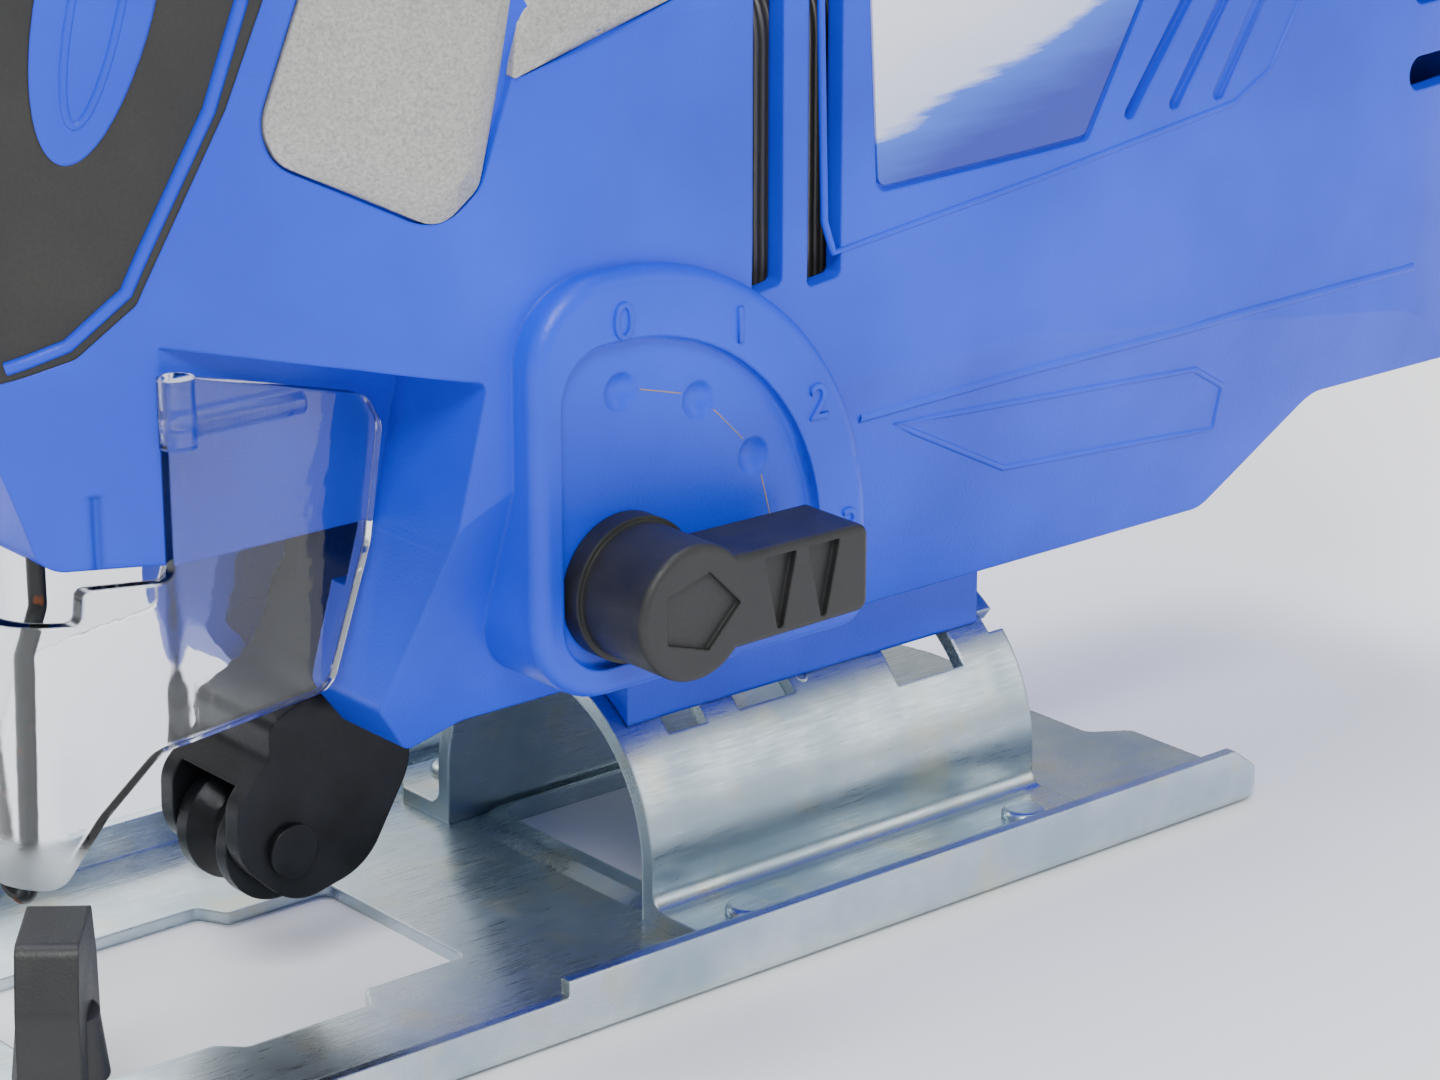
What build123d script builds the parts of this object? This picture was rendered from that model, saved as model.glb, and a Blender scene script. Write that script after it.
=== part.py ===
"""Corded jigsaw: D-handle body, gear train, scotch yoke, roller guide and tilting sole.

Frame: millimetres, +Z up, the nose points to -X, the tool's left side is -Y.
The origin is on the underside of the sole, on the centre line, between the blade opening and the window.
"""
import math
import os

from build123d import *

os.makedirs("parts", exist_ok=True)

# ---- sole ----
SOLE_WIDTH = 76.0
SOLE_FRONT = -79.0
SOLE_REAR = 100.0
SHEET = 1.6
FLANGE_HEIGHT = 8.0
FLANGE_FRONT_HEIGHT = 6.0
FLANGE_STEP_X = -13.5
FLANGE_END_X = 97.5
WING_X, WING_Y = -72.0, 29.0

# ---- tilt saddle: a half tube whose axis is the tilt axis ----
TILT_Z = 8.0
SADDLE_R = 21.0
SADDLE_SHEET = 2.0
SADDLE_FRONT, SADDLE_REAR = 12.0, 73.5
SADDLE_FLANGE_Y = 34.0
CLAMP_X = 59.5
CLAMP_SCREW_R = 3.0

# ---- body ----
WALL = 2.5
BODY_BOTTOM = 34.5
BODY_HALF_WIDTH = 34.0
SKIRT_Z = 58.0
SKIRT_HALF = 16.0
HANDLE_WIDTH = 34.0
HANDLE_DEPTH = 38.0
HANDLE_CORNER = 14.0
HANDLE_PATH = [(-30, 0, 140), (-30, 0, 184), (131, 0, 190), (140.3, 0, 100)]

# ---- orbital selector ----
HUB_X, HUB_Z = -3.5, 51.0
BOSS_FACE_Y = -36.3
BOSS_R = 35.0
BOSS_MARGIN = 12.2
CRATER_DEPTH = 1.3
DETENT_R = 21.5
KNOB_FACE_Y = -48.0

# ---- dust duct and cord inlet ----
DUCT_R, DUCT_Z, DUCT_OUT_Z = 11.0, 49.7, 66.0
INLET_R, INLET_Z, CORD_R = 7.0, 104.0, 3.75

# ---- drive ----
MOTOR_Z = 88.0
MODULE = 1.0
PINION_TEETH = 10
GEAR_TEETH = 46
GEAR_Z = MOTOR_Z + MODULE * (PINION_TEETH + GEAR_TEETH) / 2
STROKE = 18.0
PLUNGER_X = -38.0
PLUNGER_R = 4.0
RUNNING = 0.05

# ---- finger guard wire ----
WIRE_R, WIRE_X, WIRE_Y = 1.0, -59.0, 7.0

# ---- roller guide ----
ROLLER_X, ROLLER_Z = -29.2, 18.2
ARM_PIVOT_X, ARM_PIVOT_Z = -12.0, 44.0

PARTS = {}


def finish(part, label):
    """Label a finished piece and write its STEP file."""
    part.label = label
    PARTS[label] = part
    export_step(part, f"parts/{label}.step")


def xz_plane(y):
    """The plane at this Y whose drawing axes are X and Z."""
    return Plane(origin=(0, y, 0), x_dir=(1, 0, 0), z_dir=(0, -1, 0))


def rod(radius, start, length, direction):
    """A round bar from a start point along a direction."""
    with BuildPart() as bar:
        with BuildSketch(Plane(origin=start, z_dir=direction)):
            Circle(radius)
        extrude(amount=length)
    return bar.part


def block(x, y, z, corner=0.0):
    """A block between (low, high) pairs; corner rounds its edges along Z."""
    with BuildPart() as cuboid:
        with BuildSketch(Plane.XY.offset(z[0])):
            with Locations(((x[0] + x[1]) / 2, (y[0] + y[1]) / 2)):
                if corner:
                    RectangleRounded(x[1] - x[0], y[1] - y[0], corner)
                else:
                    Rectangle(x[1] - x[0], y[1] - y[0])
        extrude(amount=z[1] - z[0])
    return cuboid.part


def prism_y(points, y, radius=0.0):
    """An outline in X and Z, with rounded corners, between a (low, high) pair of Y."""
    with BuildPart() as prism:
        with BuildSketch(xz_plane(y[0])):
            with BuildLine():
                if radius:
                    FilletPolyline(*points, radius=radius, close=True)
                else:
                    Polyline(*points, close=True)
            make_face()
        extrude(amount=y[1] - y[0], dir=(0, 1, 0))
    return prism.part


def both_sides(solid):
    """A solid together with its mirror image in the parting plane."""
    with BuildPart() as pair:
        add(solid)
        mirror(about=Plane.XZ)
    return pair.part


# ---------------------------------------------------------------- body

SIDE_OUTLINE = [
    (-60, 58), (-66, 80), (-67, 104), (-60, 142), (-42, 166), (-14, 166), (-8, 128), (148, 128), (160, 118),
    (160, 62), (148, 48), (116, 48), (101, 34.5), (-16, 34.5), (-23, 32.5), (-28, 39), (-22.5, 58),
]
SIDE_RADII = [3, 20, 60, 30, 6, 10, 12, 8, 10, 10, 8, 5, 4, 6, 1.5, 1.5, 1]
PLAN_HALF = [(-67, 0), (-64, -8), (-50, -15), (-28, -30), (-6, -34), (60, -33.5), (132, -30), (152, -25), (163, -10)]
PLAN_RADII = [6, 12, 20, 40, 30, 60, 60, 12, 8, 8, 12, 60, 60, 30, 40, 20, 12]
SECTION_HALF = [(20, 28), (33.5, 67), (34.3, 112), (24, 131), (20.5, 142), (20, 180)]
SECTION_RADII = [1, 4, 14, 12, 20, 8]


def body_solid(inset):
    """The body without its handle, as the common part of its side, plan and front outlines."""
    with BuildPart() as body:
        with BuildSketch(xz_plane(0)):
            with BuildLine():
                FilletPolyline(*SIDE_OUTLINE, radius=SIDE_RADII, close=True)
            make_face()
            if inset:
                offset(amount=-inset)
        extrude(amount=BODY_HALF_WIDTH + 10, both=True)
        with BuildSketch(Plane.XY):
            with BuildLine():
                plan = PLAN_HALF + [(x, -y) for x, y in reversed(PLAN_HALF[1:])]
                FilletPolyline(*plan, radius=PLAN_RADII, close=True)
            make_face()
            if inset:
                offset(amount=-inset)
        extrude(amount=300, dir=(0, 0, 1), mode=Mode.INTERSECT)
        with BuildSketch(Plane.YZ.offset(-100)):
            with BuildLine():
                section = SECTION_HALF + [(-y, z) for y, z in reversed(SECTION_HALF)]
                FilletPolyline(*section, radius=SECTION_RADII + SECTION_RADII[::-1], close=True)
            make_face()
            if inset:
                offset(amount=-inset)
        extrude(amount=300, dir=(1, 0, 0), mode=Mode.INTERSECT)
        add(both_sides(guard_pocket(inset)), mode=Mode.SUBTRACT)
    return body.part


def guard_pocket(inset):
    """The space beside the narrow skirt where the clear guard's cheek sits (left side)."""
    lip = [
        (-80, 50), (-80, 81.5 + inset), (-49, 81.5 + inset), (-32, 78.5 + inset), (-18.5 + inset, 75.5 + inset),
        (-22.5 + inset, 58), (-25 + inset, 50),
    ]
    return prism_y(lip, (-50, -SKIRT_HALF + inset), radius=1)


def handle_solid(inset):
    """The grip of the D handle: a rounded section swept along its path."""
    with BuildPart() as grip:
        with BuildLine():
            FilletPolyline(*HANDLE_PATH, radius=[26, 34])
        with BuildSketch(Plane(origin=HANDLE_PATH[0], x_dir=(1, 0, 0), z_dir=(0, 0, 1))):
            RectangleRounded(HANDLE_DEPTH - 2 * inset, HANDLE_WIDTH - 2 * inset, HANDLE_CORNER - inset)
        sweep()
    return grip.part


def skin(inset):
    """Body and handle together, moved in by inset."""
    with BuildPart() as joined:
        add(body_solid(inset))
        add(handle_solid(inset))
    return joined.part


def sector_outline(margin, radius, corner):
    """Outline round the hub: a quarter circle at the upper rear, straight sides at the front and below."""
    x, z = HUB_X, HUB_Z
    with BuildSketch(xz_plane(0)) as sector:
        with BuildLine():
            CenterArc((x, z), radius, 0, 90)
            Polyline((x, z + radius), (x - margin, z + radius), (x - margin, z - margin),
                     (x + radius, z - margin), (x + radius, z))
        make_face()
        fillet(sector.vertices().group_by(Axis.X)[0], corner)
        fillet(sector.vertices().group_by(Axis.Y)[0].sort_by(Axis.X)[-1], corner / 3)
    return sector.sketch


def orbital_boss():
    """The raised pad that carries the orbital selector, with its front edge rounded."""
    with BuildPart() as boss:
        add(sector_outline(BOSS_MARGIN, BOSS_R, 9.5))
        extrude(amount=-BOSS_FACE_Y, dir=(0, -1, 0))
        fillet(boss.faces().sort_by(Axis.Y)[0].edges(), 1.8)
    keep_out = block((-60, 60), (-16, 10), (0, 120))
    with BuildPart() as trimmed:
        add(boss.part)
        add(keep_out, mode=Mode.SUBTRACT)
    return trimmed.part


def orbital_crater():
    """The sunk sector inside the pad, where the knob's detents are."""
    with BuildPart() as crater:
        add(sector_outline(8.8, 27.5, 6))
        extrude(amount=-BOSS_FACE_Y + 5, dir=(0, -1, 0))
        add(block((-60, 60), (BOSS_FACE_Y + CRATER_DEPTH, 10), (0, 120)), mode=Mode.SUBTRACT)
        fillet(crater.faces().sort_by(Axis.Y)[-1].edges(), 0.6)
    return crater.part


def detent(angle, depth=0.8, radius=3.4):
    """A ball that marks one selector position; angle 0 points to the rear."""
    x = HUB_X + DETENT_R * math.cos(math.radians(angle))
    z = HUB_Z + DETENT_R * math.sin(math.radians(angle))
    with BuildPart() as ball:
        with Locations((x, BOSS_FACE_Y + CRATER_DEPTH - radius + depth, z)):
            Sphere(radius)
    return ball.part


COVER_OUTLINE = [(-34.5, 122), (-39.6, 104), (-38.2, 100), (-23.5, 92.2), (-18.8, 96.3), (-10.5, 122)]
COVER_RADII = [2, 8, 4, 5, 5, 2]
COVER_RISE = 1.2
COVER_STEP = [(-16, 107), (8, 114), (8, 122), (-12, 122)]
LABEL_OUTLINE = [(32.5, 116), (34.2, 88), (68, 89), (84, 116)]
SLOTS = [(16.0, 20.4, 79.4), (24.0, 29.0, 78.9)]
REAR_SLOT_Z = [88, 99, 110]
GROOVES = [(73.2, 83.3), (81.2, 90.6), (89.2, 97.7)]
SCREW_POINTS = [(-22, 172), (60, 189), (112, 190), (151, 122), (151, 84)]


def nose_region():
    """Side outline of the rubber nose."""
    edge = [(-90, 79.5), (-62.8, 78.4), (-55.9, 80.7), (-50.2, 86), (-42.1, 106), (-38.7, 117), (-37.5, 140),
            (-31, 166), (-24, 215), (-90, 215)]
    return edge


def grip_region():
    """Side outline of the rubber on the underside of the handle."""
    return [(42, 150), (170, 150), (170, 205), (132, 186), (52, 184)]


def oval_island():
    """Outline of the body-coloured oval that shows through the rubber nose."""
    with BuildPart() as island:
        with BuildSketch(xz_plane(-50)):
            with Locations((-52.5, 118)):
                Ellipse(5.2, 17.5, rotation=-12)
        extrude(amount=50, dir=(0, 1, 0))
    return both_sides(island.part)


OUTER = skin(0)
INNER = skin(WALL)
SKIN_RUBBER = skin(1.2)
SKIN_COVER = skin(0.9)
SKIN_LABEL = skin(0.8)


def skin_layer(region, outer, inner):
    """The layer between two skins inside a region."""
    with BuildPart() as layer:
        add(outer)
        add(inner, mode=Mode.SUBTRACT)
        add(region, mode=Mode.INTERSECT)
    return layer.part


def cover_prism():
    """Everything inside the gear cover's outline on both sides of the tool."""
    with BuildPart() as prism:
        add(prism_y(COVER_OUTLINE, (-50, -10), radius=COVER_RADII))
        add(prism_y(COVER_STEP, (-50, -10), radius=1.5))
    return both_sides(prism.part)


nose_prism = prism_y(nose_region(), (-50, 50), radius=2)
grip_prism = prism_y(grip_region(), (-50, 50), radius=3)
ISLAND = oval_island()

with BuildPart() as pillars:
    for x, z in SCREW_POINTS:
        with Locations(Location((x, 0, z), (90, 0, 0))):
            Cylinder(5.2, 2 * BODY_HALF_WIDTH)
    add(SKIN_RUBBER, mode=Mode.INTERSECT)

with BuildPart() as openings:
    # orbital selector seat
    add(orbital_crater())
    for step in range(4):
        add(detent(30 * step))
    add(rod(4.0 + RUNNING, (HUB_X, -50, HUB_Z), 40, (0, 1, 0)))
    # blade bay, open below, and the way out for the roller arm
    add(block((-57, -10), (-13, 13), (50, 66), 4))
    add(block((-40, -6), (-10.5, 10.5), (25, 62)))
    # seat of the tilt shoe
    add(block((13.7, 70.3), (-14.3, 14.3), (30, 38)))
    # cooling slots over the stator and behind the brushes
    for x0, x1, z0 in SLOTS:
        add(both_sides(prism_y([(x0, z0), (x1, z0 + 0.6), (x1, 119), (x0, 119)], (-50, -20), radius=0.8)))
    for z in REAR_SLOT_Z:
        low, high = z - 2.2, z + 2.2
        add(both_sides(prism_y([(128, low), (147, low), (147, high), (128, high)], (-50, -15), radius=2.1)))
    # slanted relief grooves beside the label
    for base_x, top_x in GROOVES:
        lean = (top_x - base_x) * 2
        groove = [(base_x, 90.3), (base_x + 2.6, 90.5), (base_x + 2.6 + lean, 116.5), (base_x + lean, 116.5)]
        add(both_sides(prism_y(groove, (-50, -31.2), radius=0.8)))
    # trigger, lock button and dial openings
    add(block((-6.2, 34.2), (-6.3, 6.3), (160, 172)))
    add(rod(4.6, (44, -25, 187), 20, (0, 1, 0)))
    add(block((66.5, 87.5), (-4.0, 4.0), (199, 215)))
    # sockets of the finger guard
    for side in (-1, 1):
        add(rod(WIRE_R, (WIRE_X, side * WIRE_Y, 50), 17, (0, 0, 1)))
    # dust outlet and cord inlet
    add(rod(DUCT_R, (150, 0, DUCT_OUT_Z), 20, (1, 0, 0)))
    add(rod(INLET_R, (150, 0, INLET_Z), 20, (1, 0, 0)))
    # screw bores and counterbores
    for x, z in SCREW_POINTS:
        add(rod(1.7, (x, -12, z), 30, (0, 1, 0)))
        add(rod(3.8, (x, 11, z), 40, (0, 1, 0)))

rubber_nose = skin_layer(nose_prism, OUTER, SKIN_RUBBER)
rubber_grip = skin_layer(grip_prism, OUTER, SKIN_RUBBER)
label_prism = both_sides(prism_y(LABEL_OUTLINE, (-50, -10), radius=1.6))
with BuildPart() as shell:
    add(OUTER)
    add(orbital_boss())
    add(INNER, mode=Mode.SUBTRACT)
    # pockets for the rubber, the gear covers and the label plates
    add(rubber_nose - ISLAND, mode=Mode.SUBTRACT)
    add(rubber_grip, mode=Mode.SUBTRACT)
    add(skin_layer(cover_prism(), OUTER, SKIN_COVER), mode=Mode.SUBTRACT)
    add(skin_layer(label_prism, OUTER, SKIN_LABEL), mode=Mode.SUBTRACT)
    add(pillars.part)
    add(openings.part, mode=Mode.SUBTRACT)


def export_halves(solid, label):
    """Split a solid at the parting plane and write its left and right pieces."""
    for side, keep in (("left", Keep.TOP), ("right", Keep.BOTTOM)):
        with BuildPart() as half:
            add(solid)
            split(bisect_by=Plane.XZ, keep=keep)
        finish(half.part, f"{label}_{side}")


export_halves(shell.part, "housing")

# ---------------------------------------------------------------- trim on the body

export_halves(rubber_nose - ISLAND, "nose_rubber")
export_halves(rubber_grip, "grip_rubber")
# each gear cover stands proud of the body, so its outer skin is the body's moved sideways
with BuildPart() as raised:
    for side in (-1, 1):
        with BuildPart(mode=Mode.PRIVATE) as cover:
            add(Pos(0, side * COVER_RISE, 0) * OUTER)
            add(SKIN_COVER, mode=Mode.SUBTRACT)
            add(cover_prism(), mode=Mode.INTERSECT)
            split(bisect_by=Plane.XZ, keep=Keep.TOP if side < 0 else Keep.BOTTOM)
        add(cover.part)
export_halves(raised.part, "gear_cover")

label_inner = prism_y([(33.2, 115.4), (34.8, 88.6), (67.6, 89.6), (83.2, 115.4)], (-50, -10), radius=1.2)
with BuildPart() as labels:
    add(skin_layer(both_sides(label_inner), skin(0.35), SKIN_LABEL))
finish(labels.part, "label_plates")

with BuildPart() as screws:
    for x, z in SCREW_POINTS:
        add(rod(1.6, (x, -8, z), 19, (0, 1, 0)))
        add(rod(3.4, (x, 11, z), 2.4, (0, 1, 0)))
        with BuildSketch(xz_plane(13.4)):
            with Locations((x, z)):
                RegularPolygon(1.5, 6)
        extrude(amount=1.5, dir=(0, -1, 0), mode=Mode.SUBTRACT)
finish(screws.part, "housing_screws")

# ---------------------------------------------------------------- sole



def sole_outline(inset=0.0):
    """Plan outline of the sole with its rounded front corners and stepped rear edge."""
    half = SOLE_WIDTH / 2 - inset
    front = SOLE_FRONT + inset
    rear = [(FLANGE_END_X, half), (SOLE_REAR, 26), (SOLE_REAR, 12.7), (95, 9.5)]
    points = [(front, -half), (front, half)] + rear + [(x, -y) for x, y in reversed(rear)]
    with BuildSketch() as outline:
        with BuildLine():
            FilletPolyline(*points, radius=[14, 14, 3, 3, 2, 2, 2, 2, 3, 3], close=True)
        make_face()
    return outline.sketch


with BuildPart() as sole_plate:
    with BuildSketch():
        add(sole_outline())
    extrude(amount=FLANGE_HEIGHT)
    fillet(sole_plate.faces().sort_by(Axis.Z)[0].edges().filter_by(GeomType.LINE).filter_by(Axis.X), 2.6)
    # hollow between the turned-up sides, open at the rear
    with BuildSketch(Plane.XY.offset(SHEET)):
        with BuildLine():
            half = SOLE_WIDTH / 2 - SHEET
            FilletPolyline((SOLE_FRONT + SHEET, -half), (SOLE_FRONT + SHEET, half), (150, half), (150, -half),
                           radius=[12.4, 12.4, 2, 2], close=True)
        make_face()
    extrude(amount=20, mode=Mode.SUBTRACT)
    # lower sides ahead of the step
    add(block((-100, FLANGE_STEP_X), (-50, 50), (FLANGE_FRONT_HEIGHT, 20)), mode=Mode.SUBTRACT)
    # rounded rear ends of the sides
    add(both_sides(prism_y([(88, 20), (120, 20), (120, SHEET), (FLANGE_END_X, SHEET), (FLANGE_END_X - 1, 5),
                            (92.5, FLANGE_HEIGHT + 0.01), (88, FLANGE_HEIGHT + 0.01)], (-50, -30))),
        mode=Mode.SUBTRACT)
    # raised rim in front of and beside the window
    with BuildSketch(Plane.XY.offset(SHEET)) as rim:
        with Locations((46.2, 0)):
            RectangleRounded(66, 37.6, 5)
    with BuildSketch(Plane.XY.offset(SHEET + 0.9)):
        with Locations((46.2, 0)):
            RectangleRounded(61.4, 36.2, 4)
    loft()
    # window
    with BuildSketch():
        with Locations((48, 0)):
            RectangleRounded(60, 35, 4)
    extrude(amount=10, mode=Mode.SUBTRACT)
    # blade opening: narrow neck, wide waist, narrow front
    with BuildSketch():
        with BuildLine():
            neck, waist, mouth = 13.9, 17.6, 15.0
            FilletPolyline(
                (-10, -neck), (-24, -neck), (-26, -waist), (-42.3, -waist), (-45, -mouth), (-62, -mouth),
                (-62, mouth), (-45, mouth), (-42.3, waist), (-26, waist), (-24, neck), (-10, neck),
                radius=[1.5, 1, 1, 1, 1, 6, 6, 1, 1, 1, 1, 1.5], close=True)
        make_face()
    extrude(amount=10, mode=Mode.SUBTRACT)
    # clamp screw holes and the guide bar slots in the sides
    with BuildSketch():
        with Locations((WING_X, -WING_Y), (WING_X, WING_Y)):
            Circle(2.5 + RUNNING)
    extrude(amount=10, mode=Mode.SUBTRACT)
finish(sole_plate.part, "sole_plate")


def saddle_window(x0, x1, low, high):
    """A wedge through the half tube between two angles from the top, towards +Y."""
    with BuildPart() as wedge:
        with BuildSketch(Plane.YZ.offset(x0)):
            with BuildLine():
                reach = 40.0
                a, b = math.radians(low), math.radians(high)
                Polyline((0, TILT_Z), (reach * math.sin(a), TILT_Z + reach * math.cos(a)),
                         (reach * math.sin(b), TILT_Z + reach * math.cos(b)), close=True)
            make_face()
        extrude(amount=x1 - x0)
    return wedge.part


with BuildPart() as saddle:
    with BuildSketch(Plane.YZ.offset(SADDLE_FRONT)):
        with Locations((0, TILT_Z)):
            Circle(SADDLE_R)
        with Locations((0, TILT_Z - 20)):
            Rectangle(80, 40, mode=Mode.SUBTRACT)
        with Locations((0, (TILT_Z + SHEET) / 2)):
            Rectangle(2 * SADDLE_R, TILT_Z - SHEET)
        with Locations((0, SHEET + SADDLE_SHEET / 2)):
            Rectangle(2 * SADDLE_FLANGE_Y, SADDLE_SHEET)
        with Locations((0, TILT_Z)):
            Circle(SADDLE_R - SADDLE_SHEET, mode=Mode.SUBTRACT)
        with Locations((0, TILT_Z / 2)):
            Rectangle(2 * (SADDLE_R - SADDLE_SHEET), TILT_Z, mode=Mode.SUBTRACT)
    extrude(amount=SADDLE_REAR - SADDLE_FRONT)
    folds = saddle.edges().filter_by(Axis.X).filter_by_position(Axis.Z, SHEET + SADDLE_SHEET - 0.1,
                                                               SHEET + SADDLE_SHEET + 0.1)
    fillet(folds.filter_by_position(Axis.Y, -SADDLE_R - 0.5, SADDLE_R + 0.5), 2.0)
    for side in (-1, 1):
        # flange corners cut at an angle
        with BuildSketch(Plane.XY.offset(SHEET)):
            for x, inward in ((SADDLE_FRONT, 1), (SADDLE_REAR, -1)):
                with BuildLine():
                    Polyline((x - inward, side * (SADDLE_FLANGE_Y + 1)), (x - inward, side * 27),
                             (x + 4 * inward, side * (SADDLE_FLANGE_Y + 1)), close=True)
                make_face()
        extrude(amount=SADDLE_SHEET, mode=Mode.SUBTRACT)
        for x0, x1, low, high in ((19, 25, 35, 47.5), (30, 39, 34, 46.5), (71.1, 80, 38, 46)):
            window = saddle_window(x0, x1, side * low, side * high)
            add(window, mode=Mode.SUBTRACT)
    for low, high in ((-54.5, -1), (-2, 2), (1, 54.5)):
        add(saddle_window(54, 65, low, high), mode=Mode.SUBTRACT)
finish(saddle.part, "saddle")

RIVETS = [(20, 29), (65, 28.5)]
with BuildPart() as rivets:
    with BuildSketch(Plane.XY.offset(SHEET + SADDLE_SHEET)):
        for x, y in RIVETS:
            with Locations((x, y), (x, -y)):
                Circle(2.9)
    extrude(amount=1.2)
    fillet(rivets.faces().group_by(Axis.Z)[-1].edges(), 0.8)
finish(rivets.part, "rivets")

with BuildPart() as wing_head:
    with BuildSketch(Plane.XY.offset(12)):
        Circle(5.0)
    with BuildSketch(Plane.XY.offset(19)):
        Circle(4.2)
    loft()
    with BuildSketch(Plane.XZ):
        with BuildLine():
            FilletPolyline((-8.5, 12), (8.5, 12), (7.8, 22), (5.5, 28.5), (-5.5, 28.5), (-7.8, 22),
                           radius=[1.2, 1.2, 4, 1.5, 1.5, 4], close=True)
        make_face()
    extrude(amount=3.2, both=True)
for side, sign in (("left", -1), ("right", 1)):
    with BuildPart() as wing_screw:
        with Locations((WING_X, sign * WING_Y, 0)):
            add(wing_head.part.rotate(Axis.Z, -52 * sign))
            with Locations((0, 0, 6)):
                Cylinder(2.5, 12)
    finish(wing_screw.part, f"wing_screw_{side}")
    with BuildPart() as spring:
        turns, wire_r, coil_r, low, high = 7, 0.45, 3.1, SHEET + 0.5, 11.3
        with BuildLine():
            Helix(pitch=(high - low) / turns, height=high - low, radius=coil_r,
                  center=(WING_X, sign * WING_Y, low))
        with BuildSketch(Plane(origin=(WING_X + coil_r, sign * WING_Y, low), z_dir=(0, 1, 0))):
            Circle(wire_r)
        sweep(is_frenet=True)
    finish(spring.part, f"wing_spring_{side}")

# ---------------------------------------------------------------- tilt clamp

shoe_gap = 0.15
with BuildPart() as tilt_shoe:
    add(block((14, 70), (-14, 14), (20, 38)))
    add(rod(SADDLE_R + shoe_gap, (10, 0, TILT_Z), 70, (1, 0, 0)), mode=Mode.SUBTRACT)
    add(rod(CLAMP_SCREW_R + RUNNING, (CLAMP_X, 0, 10), 27, (0, 0, 1)), mode=Mode.SUBTRACT)
finish(tilt_shoe.part, "tilt_shoe")

with BuildPart() as clamp_plate:
    with BuildSketch(Plane.YZ.offset(50)):
        with Locations((0, TILT_Z)):
            Circle(SADDLE_R - SADDLE_SHEET - shoe_gap)
            Circle(SADDLE_R - SADDLE_SHEET - shoe_gap - 3, mode=Mode.SUBTRACT)
        with Locations((0, TILT_Z - 5)):
            Rectangle(60, 40, mode=Mode.SUBTRACT)
    extrude(amount=19)
    add(block((50, 69), (-6, 6), (22.2, 24.5)))
    add(rod(CLAMP_SCREW_R + RUNNING, (CLAMP_X, 0, 10), 27, (0, 0, 1)), mode=Mode.SUBTRACT)
finish(clamp_plate.part, "clamp_plate")

with BuildPart() as clamp_screw:
    add(rod(CLAMP_SCREW_R, (CLAMP_X, 0, 16.2), 20, (0, 0, 1)))
    add(rod(5.0, (CLAMP_X, 0, 16.1), 6, (0, 0, 1)))
    with BuildSketch(Plane.XY.offset(16.1)):
        with Locations((CLAMP_X, 0)):
            RegularPolygon(2.9, 6)
    extrude(amount=3, mode=Mode.SUBTRACT)
finish(clamp_screw.part, "clamp_screw")

# ---------------------------------------------------------------- blade guard and finger guard

GUARD_WALL = 1.8
GUARD_Y = 18.4
with BuildPart() as blade_guard:
    with BuildSketch(Plane.XY.offset(20)):
        with BuildLine():
            points = [(-22, -GUARD_Y), (-49, -GUARD_Y + 0.3), (-64.5, -9), (-64.5, 9), (-49, GUARD_Y - 0.3), (-22, GUARD_Y)]
            FilletPolyline(*points, radius=[4, 9, 9, 4])
            Line(points[-1], points[0])
        make_face()
    extrude(amount=62)
    with BuildSketch(Plane.XY.offset(20)):
        with BuildLine():
            inner = [(-10, -GUARD_Y + GUARD_WALL), (-49.3, -GUARD_Y + 0.3 + GUARD_WALL), (-62.7, -8), (-62.7, 8),
                     (-49.3, GUARD_Y - 0.3 - GUARD_WALL), (-10, GUARD_Y - GUARD_WALL)]
            FilletPolyline(*inner, radius=[3, 8, 8, 3])
            Line(inner[-1], inner[0])
        make_face()
    extrude(amount=62, mode=Mode.SUBTRACT)
    cheek = [(-49, 79), (-24.5, 72.5), (-22.6, 69), (-24.6, 56), (-30, 40.5), (-50.5, 38.5), (-56, 31), (-60.5, 23),
             (-70, 23), (-70, 52.5), (-57.5, 52.5), (-57.2, 56.3), (-49, 56.8)]
    add(prism_y(cheek, (-30, 30), radius=[1.5, 3, 3, 6, 3, 4, 6, 3, 1, 1, 1, 1, 1.5]), mode=Mode.INTERSECT)
    for sign in (-1, 1):
        with Locations((-48, sign * (GUARD_Y - 0.2), 75)):
            Cylinder(2.0, 7.4)
        with BuildSketch(Plane.YZ.offset(-48)):
            with Locations((sign * (GUARD_Y - 0.7), 73.2)):
                Circle(1.3)
        extrude(amount=15.5)
finish(blade_guard.part, "blade_guard")

with BuildPart() as finger_guard:
    leg = [(WIRE_X, -WIRE_Y, 66), (WIRE_X, -WIRE_Y, 53.5), (WIRE_X - 1, -5.5, 48), (WIRE_X - 0.3, -2.3, 18.7)]
    with BuildLine():
        FilletPolyline(*leg, *[(x, -y, z) for x, y, z in reversed(leg)], radius=[3, 3, 2.2, 2.2, 3, 3])
    with BuildSketch(Plane(origin=leg[0], z_dir=(0, 0, -1))):
        Circle(WIRE_R)
    sweep()
finish(finger_guard.part, "finger_guard")

# ---------------------------------------------------------------- roller guide

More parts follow.
